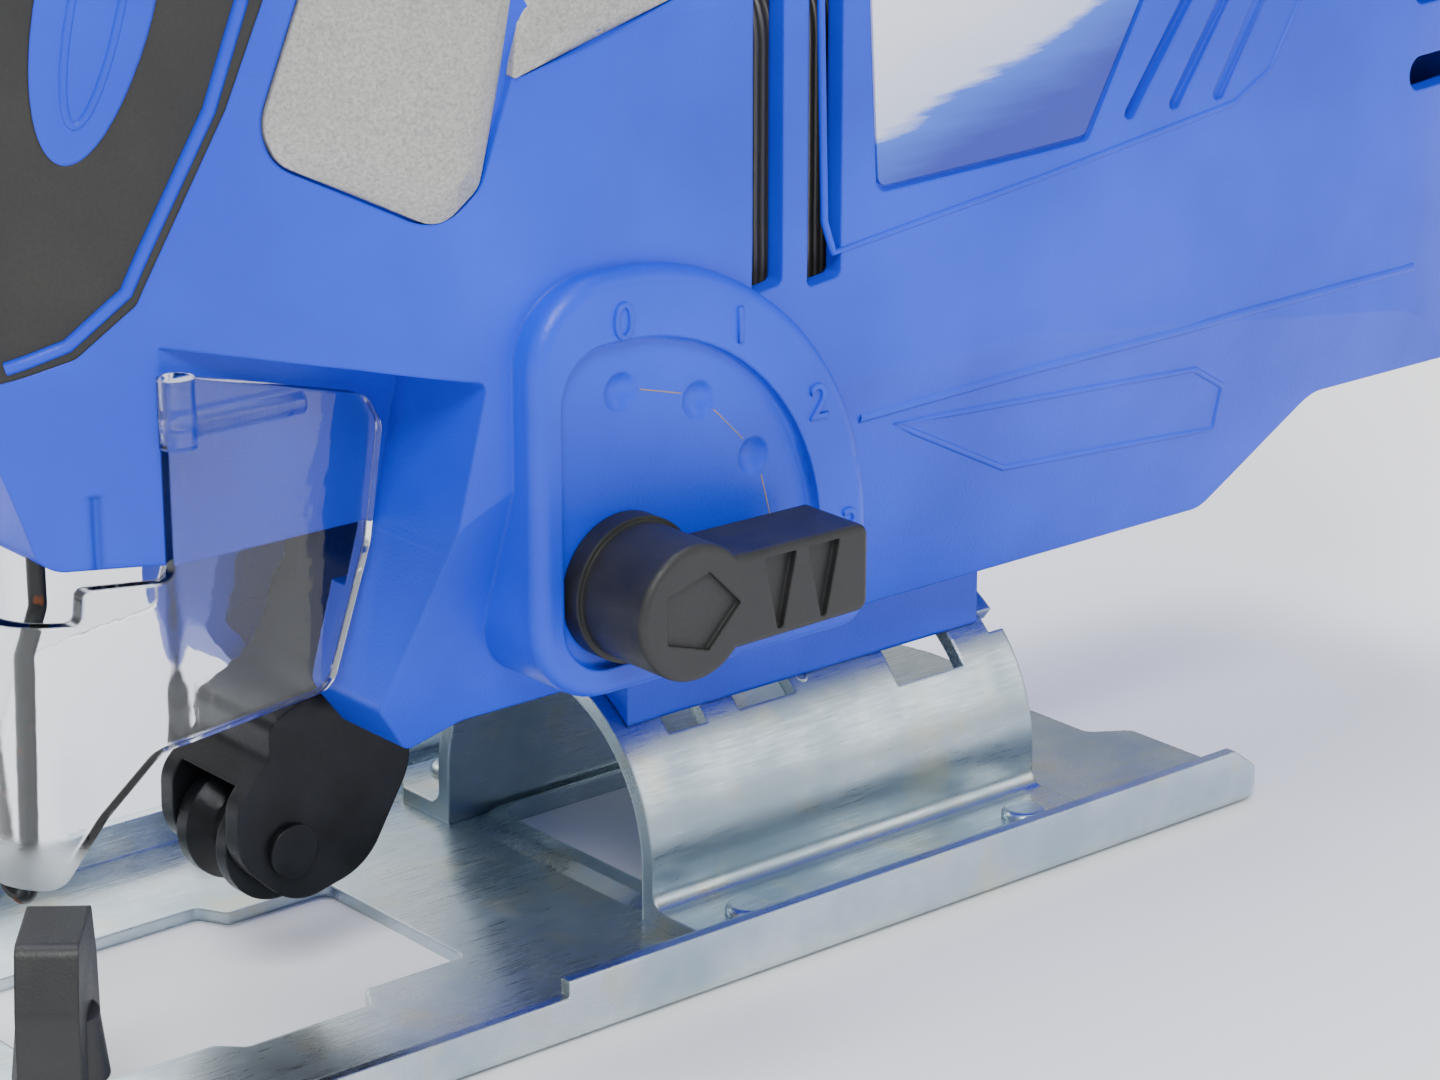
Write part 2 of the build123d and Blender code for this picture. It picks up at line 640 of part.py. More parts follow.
CHEEK_IN, CHEEK_OUT = 5.4, 7.8
ROLLER_R = 6.8
arm_outline = [(-36.2, 18.2), (-36, 25), (-31.5, 29.5), (-31.5, 33.5), (-24, 36.5), (-17.5, 50), (-6.5, 50), (-6.5, 40),
               (-12.5, 34), (-12.8, 24), (-19, 13.5), (-29, 11.2)]
with BuildPart() as roller_arm:
    add(prism_y(arm_outline, (-CHEEK_OUT, CHEEK_OUT), radius=[6, 4, 2, 2, 6, 4, 4, 4, 6, 7, 8, 6.5]))
    add(block((-40, -18.8), (-CHEEK_IN, CHEEK_IN), (5, 26.4)), mode=Mode.SUBTRACT)
    add(block((-18.9, -16), (-CHEEK_IN, CHEEK_IN), (5, 22)), mode=Mode.SUBTRACT)
    add(rod(2.5 + RUNNING, (ARM_PIVOT_X, -20, ARM_PIVOT_Z), 40, (0, 1, 0)), mode=Mode.SUBTRACT)
    add(rod(2.2, (ROLLER_X, -20, ROLLER_Z), 40, (0, 1, 0)), mode=Mode.SUBTRACT)
finish(roller_arm.part, "roller_arm")

with BuildPart() as guide_roller:
    with BuildSketch(Plane.XY) as roller_profile:
        with BuildLine():
            Polyline((2.2 + RUNNING, -5), (ROLLER_R, -5), (ROLLER_R, -3), (ROLLER_R - 2.2, -1), (ROLLER_R - 2.2, 1),
                     (ROLLER_R, 3), (ROLLER_R, 5), (2.2 + RUNNING, 5), close=True)
        make_face()
    revolve(axis=Axis.Y)
finish(guide_roller.part.moved(Location((ROLLER_X, 0, ROLLER_Z))), "guide_roller")

with BuildPart() as roller_pin:
    add(rod(2.2, (ROLLER_X, -CHEEK_OUT, ROLLER_Z), 2 * CHEEK_OUT, (0, 1, 0)))
    for start in (-CHEEK_OUT - 0.9, CHEEK_OUT):
        add(rod(3.1, (ROLLER_X, start, ROLLER_Z), 0.9, (0, 1, 0)))
finish(roller_pin.part, "roller_pin")

with BuildPart() as arm_pivot:
    add(rod(2.5, (ARM_PIVOT_X, -13, ARM_PIVOT_Z), 26, (0, 1, 0)))
finish(arm_pivot.part, "arm_pivot")

# ---------------------------------------------------------------- orbital selector

KNOB_BACK_Y = BOSS_FACE_Y + CRATER_DEPTH - 0.15
with BuildPart() as orbital_knob:
    with BuildSketch(xz_plane(KNOB_BACK_Y)):
        with Locations((HUB_X, HUB_Z)):
            Circle(8.2)
    extrude(amount=2.6)
    with BuildSketch(xz_plane(KNOB_BACK_Y)):
        with Locations((HUB_X, HUB_Z)):
            Circle(7.6)
    extrude(amount=KNOB_BACK_Y - KNOB_FACE_Y)
    lever = [(HUB_X, HUB_Z + 5.3), (HUB_X + 24.3, HUB_Z + 5.0), (HUB_X + 24.3, HUB_Z - 5.0), (HUB_X, HUB_Z - 5.3)]
    add(prism_y(lever, (KNOB_FACE_Y, -38.6), radius=[0.5, 1.4, 1.4, 0.5]))
    fillet(orbital_knob.faces().sort_by(Axis.Y)[0].edges(), 0.8)
    # arrow on the hub and the two finger notches on the lever, sunk in the face
    arrow = [(HUB_X - 4.2, HUB_Z - 2.6), (HUB_X + 1.6, HUB_Z - 4.4), (HUB_X + 6, HUB_Z), (HUB_X + 1.6, HUB_Z + 4.4),
             (HUB_X - 4.2, HUB_Z + 2.6)]
    add(prism_y(arrow, (KNOB_FACE_Y - 1, KNOB_FACE_Y + 0.7), radius=0.3), mode=Mode.SUBTRACT)
    for x0 in (9.2, 15.4):
        notch = [(HUB_X + x0, HUB_Z + 4.2), (HUB_X + x0 + 4.6, HUB_Z + 4.2), (HUB_X + x0 + 2.7, HUB_Z - 4.2),
                 (HUB_X + x0 + 1.9, HUB_Z - 4.2)]
        add(prism_y(notch, (KNOB_FACE_Y - 1, KNOB_FACE_Y + 0.9), radius=0.3), mode=Mode.SUBTRACT)
finish(orbital_knob.part, "orbital_knob")

with BuildPart() as orbital_cam:
    add(rod(4.0, (HUB_X, KNOB_BACK_Y, HUB_Z), 21.5, (0, 1, 0)))
    add(block((HUB_X - 4, HUB_X + 1.5), (KNOB_BACK_Y + 21.4, -9), (HUB_Z - 4, HUB_Z + 4)))
finish(orbital_cam.part, "orbital_cam")

with BuildPart() as detent_ball:
    with Locations((HUB_X + DETENT_R, BOSS_FACE_Y + CRATER_DEPTH - 1.4, HUB_Z)):
        Sphere(1.3)
finish(detent_ball.part, "detent_ball")

# ---------------------------------------------------------------- gear train



def gear_sketch(teeth, bore_r, turn=0.0):
    """A spur gear outline with straight-sided teeth, with clearance at the flanks."""
    pitch_r = MODULE * teeth / 2
    root_r, tip_r = pitch_r - 1.2 * MODULE, pitch_r + 0.85 * MODULE
    points = []
    for tooth in range(teeth):
        middle = turn + 2 * math.pi * tooth / teeth
        for radius, share in ((root_r, -0.30), (pitch_r, -0.215), (tip_r, -0.10), (tip_r, 0.10), (pitch_r, 0.215),
                              (root_r, 0.30)):
            angle = middle + share * 2 * math.pi / teeth
            points.append((radius * math.cos(angle), radius * math.sin(angle)))
    with BuildSketch() as outline:
        with BuildLine():
            Polyline(*points, close=True)
        make_face()
        Circle(bore_r, mode=Mode.SUBTRACT)
    return outline.sketch


def gear_along_x(teeth, bore_r, x0, width, z, turn):
    """A gear on the centre line, its axis along X; turn sets the first tooth's angle from +Y."""
    plane = Plane(origin=(x0, 0, z), x_dir=(0, 1, 0), z_dir=(1, 0, 0))
    with BuildPart() as wheel:
        with BuildSketch(plane):
            add(gear_sketch(teeth, bore_r, turn))
        extrude(amount=width)
    return wheel.part


GEAR_X, GEAR_WIDTH = -22.0, 7.0
with BuildPart() as drive_gear:
    # a gap between teeth points down at the pinion, whose tooth points up
    add(gear_along_x(GEAR_TEETH, 4.0 + RUNNING, GEAR_X, GEAR_WIDTH, GEAR_Z,
                     -math.pi / 2 + math.pi / GEAR_TEETH))
    add(rod(3.5, (PLUNGER_X + 4.7, 0, GEAR_Z + STROKE / 2), GEAR_X - PLUNGER_X - 4.7, (1, 0, 0)))
finish(drive_gear.part, "drive_gear")

with BuildPart() as counterweight:
    with BuildSketch(Plane.YZ.offset(GEAR_X - 4)):
        with Locations((0, GEAR_Z)):
            Circle(19)
        with Locations((0, GEAR_Z + 10)):
            Rectangle(60, 26, mode=Mode.SUBTRACT)
    extrude(amount=4)
finish(counterweight.part, "counterweight")

with BuildPart() as armature_shaft:
    # the shaft and the pinion cut on its end
    add(rod(4.0, (-13.5, 0, MOTOR_Z), 117, (1, 0, 0)))
    add(gear_along_x(PINION_TEETH, 0.5, -22.5, 9, MOTOR_Z, math.pi / 2))
    add(rod(1.0, (-22.5, 0, MOTOR_Z), 9.5, (1, 0, 0)))
finish(armature_shaft.part, "armature_shaft")

with BuildPart() as armature_core:
    with BuildSketch(Plane.YZ.offset(15)):
        with Locations((0, MOTOR_Z)):
            Circle(18)
            Circle(4.0, mode=Mode.SUBTRACT)
            with PolarLocations(16.6, 12):
                Rectangle(3.4, 2.0, mode=Mode.SUBTRACT)
    extrude(amount=42)
finish(armature_core.part, "armature_core")

with BuildPart() as commutator:
    with BuildSketch(Plane.YZ.offset(68)):
        with Locations((0, MOTOR_Z)):
            Circle(11)
            Circle(4.0, mode=Mode.SUBTRACT)
    extrude(amount=14)
finish(commutator.part, "commutator")

with BuildPart() as fan:
    with BuildSketch(Plane.YZ.offset(-1.5)):
        with Locations((0, MOTOR_Z)):
            Circle(25.5)
            Circle(4.0, mode=Mode.SUBTRACT)
    extrude(amount=1.6)
    with BuildSketch(Plane.YZ.offset(0)):
        with Locations((0, MOTOR_Z)):
            with PolarLocations(18.5, 14):
                Rectangle(12, 1.4, rotation=25)
            Circle(7)
            Circle(4.0, mode=Mode.SUBTRACT)
    extrude(amount=9)
finish(fan.part, "fan")

with BuildPart() as stator_core:
    with BuildSketch(Plane.YZ.offset(14)):
        with Locations((0, MOTOR_Z)):
            RectangleRounded(57, 54, 9)
            Circle(18.6, mode=Mode.SUBTRACT)
            with Locations((0, 0)):
                SlotOverall(47, 14, rotation=90, mode=Mode.SUBTRACT)
    extrude(amount=44)
finish(stator_core.part, "stator_core")

with BuildPart() as field_coils:
    for x0 in (9.5, 58.2):
        for side in (-1, 1):
            with BuildSketch(Plane.YZ.offset(x0)):
                with Locations((0, MOTOR_Z + side * 21.8)):
                    SlotOverall(34, 4.4)
            extrude(amount=4.2)
finish(field_coils.part, "field_coils")

FRAME_X = -13.0
with BuildPart() as gear_frame:
    add(block((FRAME_X, FRAME_X + 4.5), (-60, 60), (62, 153)))
    add(block((FRAME_X - 1.6, FRAME_X + 0.1), (-8, 8), (122, 151)))
    add(block((-46, FRAME_X + 0.1), (-11, 11), (140.5, 151)))
    add(skin(WALL + 0.3), mode=Mode.INTERSECT)
    for side in (-1, 1):
        add(block((-46, FRAME_X + 0.1), (side * 11.5 - 1.5, side * 11.5 + 1.5), (79, 90)))
    add(block((-46, -29), (-11.5, 11.5), (79, 90)))
    add(rod(4.5 + RUNNING, (-30, 0, MOTOR_Z), 60, (1, 0, 0)), mode=Mode.SUBTRACT)
    add(rod(11.0, (FRAME_X + 1.5, 0, MOTOR_Z), 10, (1, 0, 0)), mode=Mode.SUBTRACT)
    add(rod(6.2, (PLUNGER_X, 0, 70), 90, (0, 0, 1)), mode=Mode.SUBTRACT)
finish(gear_frame.part, "gear_frame")

with BuildPart() as gear_pin:
    add(rod(4.0, (GEAR_X + 0.5, 0, GEAR_Z), FRAME_X - GEAR_X - 0.5, (1, 0, 0)))
finish(gear_pin.part, "gear_pin")


def bearing(x0, width, outer_r):
    """A ball bearing on the motor axis, its rings and balls closed up as one ring."""
    with BuildPart() as ring:
        add(rod(outer_r, (x0, 0, MOTOR_Z), width, (1, 0, 0)))
        add(rod(4.0 + RUNNING, (x0 - 1, 0, MOTOR_Z), width + 2, (1, 0, 0)), mode=Mode.SUBTRACT)
        for face_x in (x0, x0 + width - 0.6):
            add(rod(outer_r - 2.2, (face_x, 0, MOTOR_Z), 0.6, (1, 0, 0))
                - rod(6.0, (face_x - 1, 0, MOTOR_Z), 3, (1, 0, 0)), mode=Mode.SUBTRACT)
    return ring.part


finish(bearing(FRAME_X + 1.5, 7, 11.0), "front_bearing")
finish(bearing(92, 7, 11.0), "rear_bearing")

with BuildPart() as bearing_seat:
    add(block((90.5, 101), (-29, 29), (77.5, 98.5)))
    add(skin(WALL + 0.2), mode=Mode.INTERSECT)
    add(rod(11.0, (92, 0, MOTOR_Z), 7, (1, 0, 0)), mode=Mode.SUBTRACT)
    add(rod(5.5, (80, 0, MOTOR_Z), 40, (1, 0, 0)), mode=Mode.SUBTRACT)
finish(bearing_seat.part, "bearing_seat")

with BuildPart() as brush_holders:
    for side in (-1, 1):
        y0, y1 = sorted((side * 12.5, side * 28))
        add(block((70.5, 79.5), (y0, y1), (83.5, 92.5)))
        add(block((72, 78), (min(y0, y1) - 1, max(y0, y1) + 1), (85, 91)), mode=Mode.SUBTRACT)
finish(brush_holders.part, "brush_holders")

with BuildPart() as carbon_brushes:
    for side in (-1, 1):
        y0, y1 = sorted((side * 11.1, side * 24))
        add(block((72.1, 77.9), (y0, y1), (85.1, 90.9)))
finish(carbon_brushes.part, "carbon_brushes")

# ---------------------------------------------------------------- plunger and blade clamp

with BuildPart() as plunger:
    add(rod(PLUNGER_R, (PLUNGER_X, 0, 72), 90, (0, 0, 1)))
    yoke_z = GEAR_Z + STROKE / 2
    add(block((PLUNGER_X - 2.5, PLUNGER_X + 4), (-17, 17), (yoke_z - 7, yoke_z + 7), 1))
    add(block((PLUNGER_X + 1, PLUNGER_X + 5), (-14, 14), (yoke_z - 3.7, yoke_z + 3.7)), mode=Mode.SUBTRACT)
finish(plunger.part, "plunger")

with BuildPart() as plunger_bushings:
    for z0 in (79, 142):
        add(rod(6.2, (PLUNGER_X, 0, z0), 9 if z0 > 100 else 11, (0, 0, 1)))
    add(rod(PLUNGER_R + RUNNING, (PLUNGER_X, 0, 60), 110, (0, 0, 1)), mode=Mode.SUBTRACT)
finish(plunger_bushings.part, "plunger_bushings")

with BuildPart() as blade_clamp:
    add(rod(7.0, (PLUNGER_X, 0, 60), 15, (0, 0, 1)))
    fillet(blade_clamp.edges().filter_by(GeomType.CIRCLE), 0.8)
    add(rod(PLUNGER_R, (PLUNGER_X, 0, 72), 4, (0, 0, 1)), mode=Mode.SUBTRACT)
    add(block((PLUNGER_X - 4.5, PLUNGER_X + 4.5), (-0.8, 0.8), (59, 70)), mode=Mode.SUBTRACT)
finish(blade_clamp.part, "blade_clamp")

# ---------------------------------------------------------------- controls, inlet and duct

with BuildPart() as trigger:
    add(prism_y([(-6, 176), (34, 176), (34, 163), (26, 158.5), (8, 156.5), (-6, 163)], (-6, 6),
                radius=[1, 1, 3, 14, 14, 3]))
finish(trigger.part, "trigger")

with BuildPart() as switch_body:
    add(block((-2, 32), (-8, 8), (182.6, 197), 1.5))
finish(switch_body.part, "switch_body")

with BuildPart() as lock_button:
    add(rod(4.5, (44, -20, 187), 10, (0, 1, 0)))
    fillet(lock_button.faces().sort_by(Axis.Y)[0].edges(), 1.2)
finish(lock_button.part, "lock_button")

with BuildPart() as speed_dial:
    with BuildSketch(xz_plane(3.6)):
        with Locations((77, 198.2)):
            Circle(10.2)
            with PolarLocations(10.4, 30):
                Circle(0.45, mode=Mode.SUBTRACT)
            Circle(2.5 + RUNNING, mode=Mode.SUBTRACT)
    extrude(amount=7.2)
finish(speed_dial.part, "speed_dial")

with BuildPart() as dial_axle:
    add(rod(2.5, (77, -9, 198.2), 18, (0, 1, 0)))
finish(dial_axle.part, "dial_axle")

with BuildPart() as cord_inlet:
    add(rod(INLET_R, (152, 0, INLET_Z), 12, (1, 0, 0)))
    add(rod(8.6, (152, 0, INLET_Z), 3.5, (1, 0, 0)))
    fillet(cord_inlet.faces().sort_by(Axis.X)[-1].edges(), 1.5)
    add(rod(CORD_R, (150, 0, INLET_Z), 20, (1, 0, 0)), mode=Mode.SUBTRACT)
finish(cord_inlet.part, "cord_inlet")

with BuildPart() as dust_duct:
    duct_path = [(4, 0, DUCT_Z), (92, 0, DUCT_Z), (120, 0, DUCT_OUT_Z), (161, 0, DUCT_OUT_Z)]
    with BuildLine():
        FilletPolyline(*duct_path, radius=[26, 26])
    with BuildSketch(Plane(origin=duct_path[0], z_dir=(1, 0, 0))):
        Circle(DUCT_R)
    sweep()
with BuildPart() as duct_bore:
    with BuildLine():
        FilletPolyline(*duct_path, radius=[26, 26])
    with BuildSketch(Plane(origin=duct_path[0], z_dir=(1, 0, 0))):
        Circle(DUCT_R - 1.5)
    sweep()
with BuildPart() as duct_shell:
    add(dust_duct.part)
    add(duct_bore.part, mode=Mode.SUBTRACT)
finish(duct_shell.part, "dust_duct")
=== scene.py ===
import math

import bpy
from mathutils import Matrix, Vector
from mathutils.bvhtree import BVHTree


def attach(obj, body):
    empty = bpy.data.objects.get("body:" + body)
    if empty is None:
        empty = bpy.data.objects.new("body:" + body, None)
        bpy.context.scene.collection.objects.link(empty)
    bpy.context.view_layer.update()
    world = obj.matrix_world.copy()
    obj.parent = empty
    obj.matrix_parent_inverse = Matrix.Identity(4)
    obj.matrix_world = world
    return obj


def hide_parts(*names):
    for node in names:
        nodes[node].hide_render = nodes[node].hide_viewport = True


# ---------------------------------------------------------------- measures, in millimetres
MM = 0.001
HUB_X, HUB_Z = -3.5, 51.0
DETENT_R = 21.5
BOSS_FACE_Y, CRATER_FLOOR_Y = -36.3, -35.0
DIGIT_HEIGHT = 4.2
TILT_Z, SADDLE_R = 8.0, 21.0
ZERO_X, ZERO_ANGLE, ZERO_SINK = 41.0, -39, 0.18
PAD_ROOT = -2.0

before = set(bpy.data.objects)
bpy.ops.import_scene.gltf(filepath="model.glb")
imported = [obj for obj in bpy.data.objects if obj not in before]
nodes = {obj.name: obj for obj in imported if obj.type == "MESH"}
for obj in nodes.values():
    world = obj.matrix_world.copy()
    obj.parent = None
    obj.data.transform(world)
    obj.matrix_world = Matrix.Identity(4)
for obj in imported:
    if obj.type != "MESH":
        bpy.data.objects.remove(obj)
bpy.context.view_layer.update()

# ---------------------------------------------------------------- camera, light and floor
camera = bpy.data.objects.new("camera", bpy.data.cameras.new("camera"))
bpy.context.scene.collection.objects.link(camera)
camera.location = (-0.2579, -0.35364, 0.19257)
camera.rotation_euler = (math.radians(90 - 18.53), 0, math.radians(-40.10))
camera.data.lens = 100
camera.data.sensor_width = 36
camera.data.clip_start = 0.01
bpy.context.scene.camera = camera


def softbox(name, place, target, size, watts, colour=(1, 1, 1)):
    """A square area lamp that faces a point of the tool."""
    lamp = bpy.data.lights.new(name, "AREA")
    lamp.size = size
    lamp.energy = watts
    lamp.color = colour
    holder = bpy.data.objects.new(name, lamp)
    bpy.context.scene.collection.objects.link(holder)
    holder.location = place
    holder.rotation_euler = (Vector(target) - Vector(place)).to_track_quat("-Z", "Y").to_euler()


softbox("key_softbox", (-0.55, -0.75, 0.95), (0, 0, 0.07), 0.45, 15.0)
softbox("fill_softbox", (0.75, -0.8, 0.45), (0.02, 0, 0.06), 0.6, 2.2)
softbox("top_softbox", (0.15, 0.25, 1.1), (0, 0, 0.05), 0.6, 13.0)
softbox("back_softbox", (0.1, 0.9, 0.5), (0, 0, 0.06), 0.9, 5.0)


def linear(code):
    """An sRGB hex colour as linear RGBA."""
    parts = [int(code[i:i + 2], 16) / 255 for i in (1, 3, 5)]
    return [c / 12.92 if c <= 0.04045 else ((c + 0.055) / 1.055) ** 2.4 for c in parts] + [1.0]


world = bpy.data.worlds.new("studio")
bpy.context.scene.world = world
world.use_nodes = True
world.node_tree.nodes["Background"].inputs["Color"].default_value = linear("#F4F6FA")
world.node_tree.nodes["Background"].inputs["Strength"].default_value = 0.5

# ---------------------------------------------------------------- material tools


def add(tree, kind, sockets=None, **settings):
    """Add a node, set its options, then fill or link its input sockets."""
    made = tree.nodes.new("ShaderNode" + kind)
    for key, value in settings.items():
        setattr(made, key, value)
    for key, value in (sockets or {}).items():
        if isinstance(value, bpy.types.NodeSocket):
            tree.links.new(value, made.inputs[key])
        else:
            made.inputs[key].default_value = value
    return made


def blank(name):
    """A new material with an empty tree, its place on the object in millimetres, and its shader."""
    material = bpy.data.materials.new(name)
    material.use_nodes = True
    tree = material.node_tree
    tree.nodes.clear()
    where = add(tree, "TexCoord")
    place = add(tree, "VectorMath", {0: where.outputs["Object"], 1: [1 / MM] * 3}, operation="MULTIPLY")
    shader = add(tree, "BsdfPrincipled")
    add(tree, "OutputMaterial", {"Surface": shader.outputs[0]})
    return material, tree, place.outputs[0], shader


def noise(tree, place, size, detail=2.0, rough=0.5, stretch=None):
    """Noise whose features are about size millimetres across; stretch lengthens them along X, Y and Z."""
    if stretch:
        squeeze = [1 / s for s in stretch]
        place = add(tree, "VectorMath", {0: place, 1: squeeze}, operation="MULTIPLY").outputs[0]
    made = add(tree, "TexNoise", {"Vector": place, "Scale": 1 / size, "Detail": detail, "Roughness": rough})
    return made.outputs[0]


def span(tree, value, low, high, to_low, to_high):
    """Map a value from one range to another, clamped."""
    made = add(tree, "MapRange", {"Value": value, "From Min": low, "From Max": high, "To Min": to_low,
                                  "To Max": to_high})
    return made.outputs[0]


def mix(tree, factor, first, second):
    """Blend two colours; each is a hex code or a socket."""
    sides = [linear(c) if isinstance(c, str) else c for c in (first, second)]
    made = add(tree, "MixRGB", {"Fac": factor, "Color1": sides[0], "Color2": sides[1]})
    return made.outputs[0]


def wire(tree, socket, target):
    tree.links.new(socket, target)


def relief(tree, shader, height, depth, edge=0.35):
    """Bump in real millimetres over edges rounded by a small radius, as a mould or tumbler leaves them."""
    rounded = add(tree, "Bevel", {"Radius": edge * MM}, samples=4)
    bump = add(tree, "Bump", {"Height": height, "Distance": depth * MM, "Strength": 1.0,
                              "Normal": rounded.outputs[0]})
    wire(tree, bump.outputs[0], shader.inputs["Normal"])


def surface(name, light, dark, patch, grain, depth, rough, metallic=0.0, stretch=None, edge=0.35, fine=0.0):
    """A finish of two close colours in soft patches, with a grain that catches the light."""
    material, tree, place, shader = blank(name)
    cloud = noise(tree, place, patch, 3.0)
    wire(tree, mix(tree, span(tree, cloud, 0.35, 0.65, 0, 1), light, dark), shader.inputs["Base Color"])
    speck = noise(tree, place, grain, 2.0, stretch=stretch)
    wear = add(tree, "Math", {0: cloud, 1: speck}, operation="ADD").outputs[0]
    wire(tree, span(tree, wear, 0.7, 1.3, rough[0], rough[1]), shader.inputs["Roughness"])
    shader.inputs["Metallic"].default_value = metallic
    relief(tree, shader, speck, depth, edge)
    return material


# ---------------------------------------------------------------- finishes

# glass-filled nylon from a spark-eroded mould: even fine orange peel that turns highlights into a soft sheen
BLUE = surface("blue_nylon_spark_eroded", "#0742E8", "#0538D0", 30, 0.32, 0.035, (0.36, 0.5), edge=0.5)
# thermoplastic rubber moulded over the nylon: matt, charcoal, with handling dust in its pores
RUBBER = surface("thermoplastic_rubber", "#1D1D1E", "#2A2927", 14, 0.4, 0.05, (0.52, 0.7), edge=0.5)
# metallic paint over a sand-blasted die casting: coarse bright grain
SILVER, tree, place, shader = blank("silver_paint_over_blasted_alloy")
grit = noise(tree, place, 0.42, 3.0, 0.65)
glint = add(tree, "TexVoronoi", {"Vector": place, "Scale": 2.6}, feature="F1").outputs["Distance"]
wire(tree, mix(tree, span(tree, grit, 0.3, 0.7, 0, 1), "#93928F", "#BAB9B5"), shader.inputs["Base Color"])
wire(tree, span(tree, glint, 0.1, 0.6, 0.34, 0.56), shader.inputs["Roughness"])
shader.inputs["Metallic"].default_value = 0.4
relief(tree, shader, grit, 0.06, 0.3)

# zinc plate on pressed sheet, blue passivated: cool patches, a faint straw tint and long handling scratches
ZINC, tree, place, shader = blank("zinc_plated_sheet_blue_passivated")
clouds = noise(tree, place, 22, 4.0, 0.6)
tint = noise(tree, place, 9, 2.0)
scratch = noise(tree, place, 0.35, 4.0, 0.7, stretch=(14, 1, 1))
cool = mix(tree, span(tree, clouds, 0.38, 0.62, 0, 1), "#CBD6DB", "#AABCC6")
warm = mix(tree, span(tree, tint, 0.56, 0.72, 0, 0.45), cool, "#D5CDA6")
wire(tree, warm, shader.inputs["Base Color"])
worn = add(tree, "Math", {0: clouds, 1: scratch}, operation="ADD").outputs[0]
wire(tree, span(tree, worn, 0.75, 1.25, 0.2, 0.42), shader.inputs["Roughness"])
shader.inputs["Metallic"].default_value = 1.0
relief(tree, shader, scratch, 0.004, 0.5)

# turned and ground steel: short fine lines
STEEL = surface("ground_steel", "#B9BBBD", "#9C9FA2", 6, 0.15, 0.008, (0.22, 0.36), 1.0, (1, 1, 8), 0.2)
# hard-drawn spring wire, bright
SPRING = surface("bright_spring_wire", "#C6C7C8", "#A7A9AB", 2, 0.1, 0.004, (0.18, 0.3), 1.0, edge=0.05)
# black oxide on forged steel with an oil film: near black with a low broad shine
OXIDE = surface("black_oxide_steel_oiled", "#17181A", "#24252A", 8, 0.5, 0.02, (0.3, 0.48), 0.55, edge=0.4)
# black moulded nylon of the knobs: dusty satin, pale at the worn corners
NYLON = surface("black_moulded_nylon", "#191A1B", "#242424", 7, 0.3, 0.03, (0.42, 0.58), edge=0.4)
# bent wire with black zinc, a touch of rust where the coat is broken
WIRE, tree, place, shader = blank("black_zinc_wire")
rust = span(tree, noise(tree, place, 2.2, 4.0), 0.62, 0.72, 0, 1)
wire(tree, mix(tree, rust, "#1A1B1D", "#6A3A1E"), shader.inputs["Base Color"])
wire(tree, span(tree, rust, 0, 1, 0.35, 0.8), shader.inputs["Roughness"])
shader.inputs["Metallic"].default_value = 0.4
relief(tree, shader, rust, 0.02, 0.1)
# die-cast aluminium, unpainted
ALLOY = surface("die_cast_aluminium", "#B7B9BB", "#9EA1A3", 5, 0.6, 0.03, (0.4, 0.55), 1.0, edge=0.5)
# motor core of thin stamped sheets: dark lines every half millimetre along the motor
CORE, tree, place, shader = blank("laminated_electrical_steel")
bands = add(tree, "TexWave", {"Vector": place, "Scale": 0.32, "Distortion": 0.4},
            bands_direction="X").outputs[1]
wire(tree, mix(tree, bands, "#4A4A48", "#8E8B86"), shader.inputs["Base Color"])
wire(tree, span(tree, bands, 0, 1, 0.6, 0.38), shader.inputs["Roughness"])
shader.inputs["Metallic"].default_value = 0.8
relief(tree, shader, bands, 0.15, 0.1)
# enamelled copper wire wound in layers
COPPER, tree, place, shader = blank("enamelled_copper_winding")
turns = add(tree, "TexWave", {"Vector": place, "Scale": 0.5, "Distortion": 0.6},
            bands_direction="Y").outputs[1]
wire(tree, mix(tree, turns, "#6E2F16", "#B5602F"), shader.inputs["Base Color"])
wire(tree, span(tree, turns, 0, 1, 0.5, 0.3), shader.inputs["Roughness"])
shader.inputs["Metallic"].default_value = 0.7
relief(tree, shader, turns, 0.2, 0.1)
# sintered bronze and drawn brass of bushings and brush boxes
BRASS = surface("sintered_bronze_brass", "#B08D4A", "#977638", 5, 0.25, 0.02, (0.35, 0.5), 1.0, edge=0.2)
# pressed carbon of the brushes
CARBON = surface("pressed_carbon", "#202022", "#2C2C2E", 3, 0.3, 0.03, (0.5, 0.65), 0.2, edge=0.2)

# printed polyester label under a clear gloss film: pale upper field, deep blue sweep with streaks below
LABEL, tree, place, shader = blank("printed_polyester_label")
axes = add(tree, "SeparateXYZ", {0: place})
slope = add(tree, "Math", {0: axes.outputs["X"], 1: 0.30, 2: 0.0}, operation="MULTIPLY_ADD").outputs[0]
height = add(tree, "Math", {0: axes.outputs["Z"], 1: slope}, operation="SUBTRACT").outputs[0]
streak = noise(tree, place, 2.4, 4.0, 0.6, stretch=(9, 1, 1))
ragged = add(tree, "Math", {0: height, 1: span(tree, streak, 0, 1, -3, 3)}, operation="ADD").outputs[0]
upper = mix(tree, span(tree, ragged, 84, 102, 0, 1), "#C9D3F2", "#F6F6FB")
sweep = mix(tree, span(tree, ragged, 76, 83.5, 0, 1), "#1B2FA8", "#3D6BE6")
wire(tree, mix(tree, span(tree, ragged, 82.8, 84.2, 0, 1), sweep, upper), shader.inputs["Base Color"])
shader.inputs["Roughness"].default_value = 0.16
relief(tree, shader, noise(tree, place, 3.0), 0.01, 0.2)

